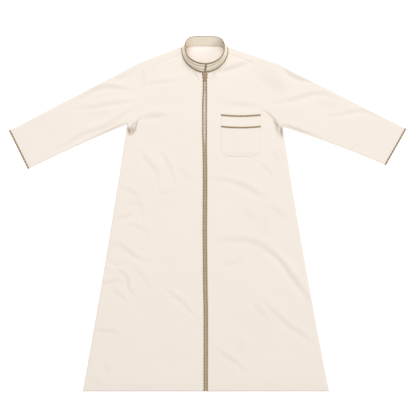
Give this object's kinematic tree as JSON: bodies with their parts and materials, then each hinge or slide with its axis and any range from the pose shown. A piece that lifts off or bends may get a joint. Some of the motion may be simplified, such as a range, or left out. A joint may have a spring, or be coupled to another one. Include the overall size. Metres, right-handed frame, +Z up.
{
  "type": "thobe robe",
  "caption": "Long-sleeved A-line robe laid out flat, with stand collar, centre front zip, braid trim and a chest pocket.",
  "frame": {"origin": "centre of the flat-laid robe's outline, on the surface it lies on", "axes": "+Z up from the surface, +Y from hem to neck, +X towards the wearer's left sleeve"},
  "size_m": [1.5924, 1.4217, 0.0398],
  "materials": {
    "cream_cloth": "plain weave, soft matt",
    "collar_cloth": "patterned weave, matt",
    "braid": "scalloped braid, slightly silky",
    "zip_tape": "woven tape, matt",
    "zip_teeth": "moulded coil, satin",
    "zip_metal": "painted, satin"
  },
  "bodies": {
    "garment": {"back": "cream_cloth", "front_left": "cream_cloth", "front_right": "cream_cloth", "sleeve_left": "cream_cloth", "sleeve_right": "cream_cloth", "collar_band": "collar_cloth", "pocket": "cream_cloth", "collar_rim_braid": "braid", "collar_seam_braid": "braid", "collar_end_braid_left": "braid", "collar_end_braid_right": "braid", "front_braid_left": "braid", "front_braid_right": "braid", "cuff_braid_left": "braid", "cuff_braid_right": "braid", "pocket_braid_upper": "braid", "pocket_braid_lower": "braid", "zip_tape_left": "zip_tape", "zip_tape_right": "zip_tape", "zip_chain": "zip_teeth", "zip_slider": "zip_metal"},
    "pull_tab": {"zip_pull": "zip_metal"}
  },
  "joints": [
    {"name": "pull_tab_hinge", "type": "hinge", "parent": "garment", "child": "pull_tab", "pos_m": [-0.01218, 0.5568, 0.0069], "axis": [-1, 0, 0], "range_deg": [0, 120]}
  ]
}
